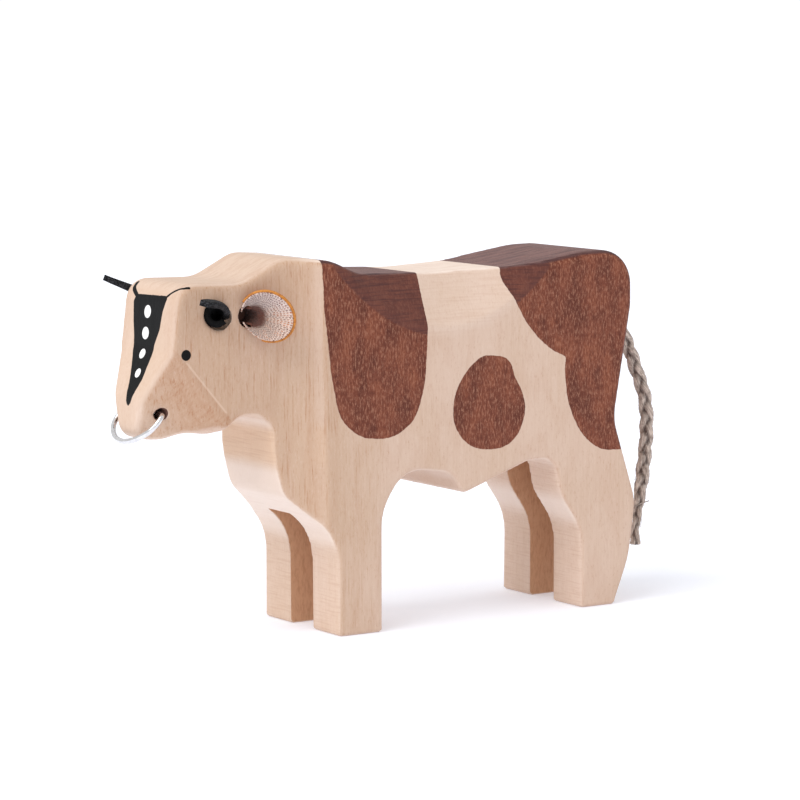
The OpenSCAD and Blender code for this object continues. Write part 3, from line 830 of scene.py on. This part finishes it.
# Inside the slots the wood is painted browner and darker, as painted shade, and has its own material
def markSlots(body, facts):
    x, y, z = (readVectors(body.data.polygons, "center") / mm).T
    front, hind = facts.slotEnds
    frontTop, hindTop = facts.slotTops
    near = facts.slotNear
    low = ((x < front + near) & (z < frontTop + near)) | ((x > hind - near) & (z < hindTop + near))
    inside = low & (np.abs(y) < facts.slotHalf + facts.slotMore + facts.slotSkin)
    body.data.polygons.foreach_set("material_index", inside.astype(np.int32))
    body.data.update()


def shadedSlotFinish(facts):
    nodes = newFinish("shaded_wood_in_slot")
    fibres = grain(placeInMm(nodes), "slot")
    colour = between(facts.slot, facts.slotDark, band(fibres, facts.slotToned))
    values = {"Base Color": colour, "Roughness": 0.7, "Specular IOR Level": 0.2}
    return closeFinish(nodes, values, fibres, depth=0.03)


finishPiece(body, [woodFinish(woodFacts, paintFacts), shadedSlotFinish(woodFacts)], "figure", "body")
markSlots(body, bodyFacts)
takeUp(body)
bpy.ops.object.shade_smooth_by_angle(angle=math.radians(bodyFacts.sharpAngle))


# Horns: a strip of leather rolled into its bore and flattened towards its tip. "front" and "behind" are how far it
# wraps at its root, in shares of the roll; "hidden" is the share of its rows inside the bore
hornFacts = Facts(
    bore=5.4, inside=4.1, thick=1.25, long=12.8, tip={"left": 2.0, "right": 3.6}, gap=0.15,
    close=0.25, cut=0.06, sweep={"left": 2.9, "right": 3.5}, rise={"left": -2.2, "right": 0.0},
    out=(-0.5, -0.83, 0.24), up=(0.35, 0, 1), lip=0.6, front=(4.3, 0.6), behind=1.6,
    narrowing=0.7, hidden=0.25, crowding=1.5, leastCurl=0.02, grid=(56, 96),
    pores=3.2, poreShare=0.4, cloudShare=0.7, toned=(0.45, 0.85), cutToned=(0.38, 0.66),
    root=(0.36, 0.44), cutRoot=(0.36, 0.42),
)


def addHorn(facts, side):
    out = unit(facts.out)
    rear = unit(np.cross(facts.up, out))
    top = np.cross(out, rear)
    roll = facts.bore / 2 - facts.gap - facts.thick / 2
    lip = roll * facts.lip
    hidden, crowding, narrowing = facts.hidden, facts.crowding, facts.narrowing
    tip = facts.tip[side] / 2
    sway = np.array([0, 0, facts.rise[side]]) - rear * facts.sweep[side]
    flip = 1 if side == "left" else -1

    def skin(u, v):
        u = (2 * u - 1) * flip
        v = np.where(v < hidden, v / hidden - 1, np.maximum(v - hidden, 0) ** crowding / (1 - hidden) ** crowding)
        t = np.maximum(v, 0)
        stand = np.where(v < 0, mix(lip, -facts.inside, -v), mix(lip, facts.long, v))
        curl = np.maximum(facts.leastCurl, 1 - t) / roll
        front = mix(roll * mix(*facts.front, np.minimum(1, t / facts.cut)), tip, t ** narrowing)
        behind = mix(roll * facts.behind, tip, t ** narrowing)
        angle = np.where(u < 0, u * front, u * behind) * curl
        close = mix(1, facts.close, np.maximum(-v, 0))
        points = (np.array(headPlaces.horn) + out * stand[:, None] + (t * t)[:, None] * sway
                  + rear * (close * np.sin(angle) / curl)[:, None]
                  + top * (close * (roll - (1 - np.cos(angle)) / curl))[:, None])
        return points * [1, flip, 1]

    horn = layGrid(f"leather_horn_{side}", *facts.grid, skin)
    thicken(horn, facts.thick)
    return horn


def leatherFinish(facts):
    nodes = newFinish("black_leather")
    place = placeInMm(nodes)
    along = parts(flatPlace(nodes))[1]
    pores = nodes.node("TexVoronoi", {"Vector": place, "Scale": facts.pores}, feature="F1")
    cloud = grain(place, "hide")
    tone = band(cloud * facts.cloudShare + pores * facts.poreShare, facts.toned)
    # painted shade: the leather is made nearly black towards and inside its bore
    colour = between((6, 6, 7), between((20, 20, 22), (72, 73, 77), tone), band(along, facts.root))
    values = {"Base Color": colour, "Roughness": 0.6 + cloud * 0.25, "Specular IOR Level": 0.15}
    return closeFinish(nodes, values, pores + cloud * 0.6, depth=0.12)


def cutEdgeFinish(facts):
    nodes = newFinish("cut_leather_edge")
    fibres = grain(placeInMm(nodes), "cut")
    along = parts(flatPlace(nodes))[1]
    colour = between((62, 63, 66), (142, 143, 146), band(fibres, facts.cutToned))
    # painted shade: the cut edge is made nearly black towards and inside the bore
    colour = between((10, 10, 11), colour, band(along, facts.cutRoot))
    values = {"Base Color": colour, "Roughness": 0.85, "Specular IOR Level": 0.2}
    return closeFinish(nodes, values, fibres, depth=0.25)


leather, cutEdge = leatherFinish(hornFacts), cutEdgeFinish(hornFacts)
for side in ("left", "right"):
    finishPiece(addHorn(hornFacts, side), [leather, cutEdge], "figure", f"horn_{side}")
print("horns are in")


# Ears: a cone of tan leather with a knitted lining glued inside it. "turns" are in degrees, and at its root a ply
# spans the share "rootTurn" of them; "hidden" is the share of its rows inside the bore
earFacts = Facts(
    bore=5, inside=4.2, leather=0.55, lining=0.4, wide=9.4, high=10.1, reach=5.7, gap=0.15,
    turns={"leather": (-112, 146), "lining": (-168, 168)}, long={"leather": 1.06, "lining": 1.0},
    rootTurn=0.55, forward=0.75, slant=0.094, flare=0.8, hidden=0.2, small=0.0005, grid=(84, 48),
    toned=(0.3, 0.75),
)


def earSkin(facts, side, ply, off):
    roll = facts.bore / 2 - facts.gap - facts.leather
    lip = facts.leather + facts.gap
    hidden, flare, small = facts.hidden, facts.flare, facts.small
    flip = 1 if side == "left" else -1

    def bare(u, v):
        angle = np.radians(mix(*facts.turns[ply], u if flip > 0 else 1 - u))
        v = np.where(v < hidden, v / hidden - 1, (v - hidden) / (1 - hidden) * facts.long[ply])
        angle = angle * mix(facts.rootTurn, 1, np.clip(v, 0, 1) ** flare)
        opened = (1 + np.cos(angle)) / 2
        root = np.array([roll * np.cos(angle), np.where(v < 0, mix(-lip, facts.inside, -v), -lip),
                         roll * np.sin(angle)]).T
        mouth = np.array([facts.wide * opened - roll - facts.high * facts.slant * np.sin(angle)
                          - facts.forward,
                          -lip - facts.gap - (facts.reach - lip) * opened ** flare,
                          facts.high / 2 * np.sin(angle)]).T
        return np.array(headPlaces.ear) + mix(root, mouth, np.maximum(v, 0)[:, None])

    def skin(u, v):
        steps = [bare(u + small, v) - bare(u - small, v), bare(u, v + small) - bare(u, v - small)]
        square = unit(np.cross(steps[0], steps[1])) * flip
        return (bare(u, v) + square * off) * [1, flip, 1]

    return skin


def addEar(facts, side, ply):
    off = {"leather": facts.leather / 2, "lining": -facts.lining / 2}[ply]
    ear = layGrid(f"ear_{ply}_piece_{side}", *facts.grid, earSkin(facts, side, ply, off))
    thicken(ear, facts[ply])
    return ear


def tanFinish(facts):
    nodes = newFinish("tan_leather")
    cloud = grain(placeInMm(nodes), "tan")
    colour = between((214, 140, 52), (176, 104, 40), band(cloud, facts.toned))
    values = {"Base Color": colour, "Roughness": 0.6}
    return closeFinish(nodes, values, cloud, depth=0.1)


# Rows of small gaps run from the root to the rim, each row with its own start. "high" and "shade" are heights in mm
knitFacts = Facts(
    rows=52, rowStray=0.9, gapWide=3.1, steps=12.5, stepStray=0.6, gapLong=2.5,
    gap=(1.05, 0.62), gapLeast=0.55, warm=(0.3, 0.4), rowKey=7.3, warmKey=3.1, shift=0.5,
    high=(66, 71.5), shade=(70.5, 66.5), root=(0.46, 0.3), coolHigh=0.9, creamHigh=0.6,
    thread=0.95, shadeShare=0.26, rootShare=0.97, rootStray=0.1,
)


def knitFinish(facts):
    nodes = newFinish("knitted_lining")
    around, along, _ = parts(flatPlace(nodes))
    place = placeInMm(nodes)
    wobble = grain(place, "wander") - 0.5
    rows = around * facts.rows + wobble * facts.rowStray
    row = rows.maths("FLOOR")
    steps = along * facts.steps + chance(row) + wobble * facts.stepStray
    step = steps.maths("FLOOR")
    aside = (rows.maths("FRACT") - 0.5) * facts.gapWide
    forward = (steps.maths("FRACT") - 0.5) * facts.gapLong
    gap = (aside * aside + forward * forward).maths("SQRT")
    least = facts.gapLeast
    holes = band(gap, facts.gap) * (least + chance(row * facts.rowKey + step) * (1 - least))
    up = parts(place)[2]
    high = band(up, facts.high)
    warm = (band(chance(row, facts.shift), facts.warm)
            * band(chance(row * facts.warmKey + step, facts.shift), facts.warm)
            * (1 - high * facts.coolHigh))
    cream = between((252, 232, 220), (222, 196, 190), high * facts.creamHigh + wobble)
    thread = between((122, 76, 74), (204, 104, 36), warm)
    # painted shade: the lining is made dark brown towards its root, deep in the cone
    root = band(along + wobble * facts.rootStray, facts.root)
    shade = band(up, facts.shade)
    colour = overlay(cream, (thread, holes * facts.thread), ((204, 136, 88), shade * facts.shadeShare),
                     ((122, 62, 40), root * facts.rootShare))
    values = {"Base Color": colour, "Roughness": 0.85, "Sheen Weight": 0.1}
    return closeFinish(nodes, values, gap, depth=0.2)


tan, knit = tanFinish(earFacts), knitFinish(knitFacts)
for side in ("left", "right"):
    for ply, stuff in (("leather", tan), ("lining", knit)):
        finishPiece(addEar(earFacts, side, ply), [stuff, stuff], "figure", f"ear_{ply}_{side}")
print("ears are in")


# Nose ring: one bent wire, drawn flat with its reach along x and then laid over by its rest, in degrees
ringFacts = Facts(wire=1.15, wide=16.4, reach=7.85, shift=0.4, rest=48, endLong=2.4, bow=45,
                  hole=headPlaces.nose[::2], sides=24, arcSteps=22, bendSteps=14, toned=(0.3, 0.7),
                  rough=0.12, hazeRough=0.06)


def arc(x, y, radius, first, last, steps):
    return [(x + radius * math.cos(a), y + radius * math.sin(a)) for a in np.linspace(first, last, steps)]


# Half of the ring is a wide bow, a tighter shoulder, a small bend and a straight end in the hole
def ringOutline(facts):
    shoulder = facts.wide / 4
    bow = math.radians(facts.bow)
    bowRadius = shoulder + (facts.wide / 2 - shoulder) / math.sin(bow)
    bowX = facts.reach - bowRadius
    shoulderX = bowX + (bowRadius - shoulder) * math.cos(bow)
    shoulderY = (bowRadius - shoulder) * math.sin(bow)
    bend = facts.wire
    turn = math.acos((bend - shoulderX) / (shoulder - bend))
    bendX = shoulderX + (shoulder - bend) * math.cos(turn)
    bendY = shoulderY + (shoulder - bend) * math.sin(turn)
    half = (arc(bowX, 0, bowRadius, 0, bow, facts.arcSteps)[:-1]
            + arc(shoulderX, shoulderY, shoulder, bow, turn, facts.arcSteps)[:-1]
            + arc(bendX, bendY, bend, turn, math.pi, facts.bendSteps)
            + [(0, bendY - facts.endLong / 2), (0, bendY - facts.endLong)])
    return np.array([(x, -y) for x, y in half[:0:-1]] + half)


def addRing(facts):
    flat = ringOutline(facts)
    rest = math.radians(facts.rest)
    points = np.array([-flat[:, 0] * math.cos(rest), flat[:, 1], -flat[:, 0] * math.sin(rest)]).T
    points += [facts.hole[0], facts.shift, facts.hole[1]]
    way = unit(np.gradient(points, axis=0))
    over = np.tile([math.sin(rest), 0, -math.cos(rest)], (len(points), 1))
    half = facts.wire / 2
    return layTube("steel_ring", points, facts.sides, over, np.cross(way, over), lambda row, u: (half, half))


def steelFinish(facts):
    nodes = newFinish("bright_steel")
    haze = grain(placeInMm(nodes), "haze")
    colour = between((234, 233, 234), (218, 217, 219), band(haze, facts.toned))
    values = {"Base Color": colour, "Metallic": 1.0, "Roughness": facts.rough + haze * facts.hazeRough}
    return closeFinish(nodes, values, haze, depth=0.001)


finishPiece(addRing(ringFacts), [steelFinish(ringFacts)], "ring", "nose_ring")
print("ring is in")


# Flax for the tail: fibres wind slowly along each strand, painted darker where the strands meet, as painted shade
flaxFacts = Facts(around=22, slant=66, along=34, light=(0.36, 0.76), fibres=0.85, cloud=0.3,
                  proud=(0.0, 0.6), least=0.12)


def flaxFinish(facts):
    nodes = newFinish("flax_cord")
    around, along, _ = parts(flatPlace(nodes))
    wound = nodes.node("CombineXYZ", {0: around * facts.around + along * facts.slant, 1: along * facts.along})
    fibres = grain(wound, "wound")
    light = fibres * facts.fibres + grain(placeInMm(nodes), "flax") * facts.cloud
    colour = between((124, 102, 90), (242, 224, 210), band(light, facts.light))
    # painted shade in the crevices between the strands
    proud = ease(attribute(nodes, "proud"), *facts.proud, facts.least, 1.0)
    colour = between((84, 66, 58), colour, proud)
    values = {"Base Color": colour, "Roughness": 0.85, "Sheen Weight": 0.2}
    return closeFinish(nodes, values, fibres, depth=0.3)


flax = flaxFinish(flaxFacts)
finishPiece(tail, [flax], "figure", "tail_cord")
finishPiece(tailRoot, [flax], "figure", "tail_root")


# Floor, light and world
floorFacts = Facts(size=12, colour=(0.85, 0.875, 0.94, 1), glow=(0.92, 0.93, 1, 1), glowStrength=0.23)
lightFacts = Facts(strength=1.55, towards=(0.66, 0.12, -0.74), angle=45, colour=(1, 0.99, 0.97))
roomFacts = Facts(glow=0.8, backdrop=1.05)


def addFloor(facts):
    deselectAll()
    bpy.ops.mesh.primitive_plane_add(size=facts.size, location=(0, 0, 0))
    floor = bpy.context.object
    floor.name = "floor"
    nodes = newFinish("floor_paper")
    values = {"Base Color": facts.colour, "Roughness": 0.7, "Specular IOR Level": 0.1,
              "Emission Color": facts.glow, "Emission Strength": facts.glowStrength}
    floor.data.materials.append(closeFinish(nodes, values))


def addLight(facts):
    bpy.ops.object.light_add(type="SUN")
    light = bpy.context.object
    light.data.energy, light.data.color = facts.strength, facts.colour
    light.data.angle = math.radians(facts.angle)
    light.rotation_mode = "QUATERNION"
    light.rotation_quaternion = Vector(facts.towards).to_track_quat("-Z", "Y")


# The room lights the figure softly, and behind it the backdrop is plain white
def addRoom(glow, backdrop):
    room = bpy.data.worlds.new("studio")
    bpy.context.scene.world = room
    room.use_nodes = True
    room.node_tree.nodes.clear()
    nodes = Signal(room.node_tree)
    strength = nodes.node("LightPath") * (backdrop - glow) + glow
    nodes.node("Background", {0: (1, 1, 1, 1), 1: strength}).sendOut("World")


addFloor(floorFacts)
addRoom(**roomFacts)
addLight(lightFacts)
bpy.context.scene.view_settings.view_transform = "Standard"
print("light is on")
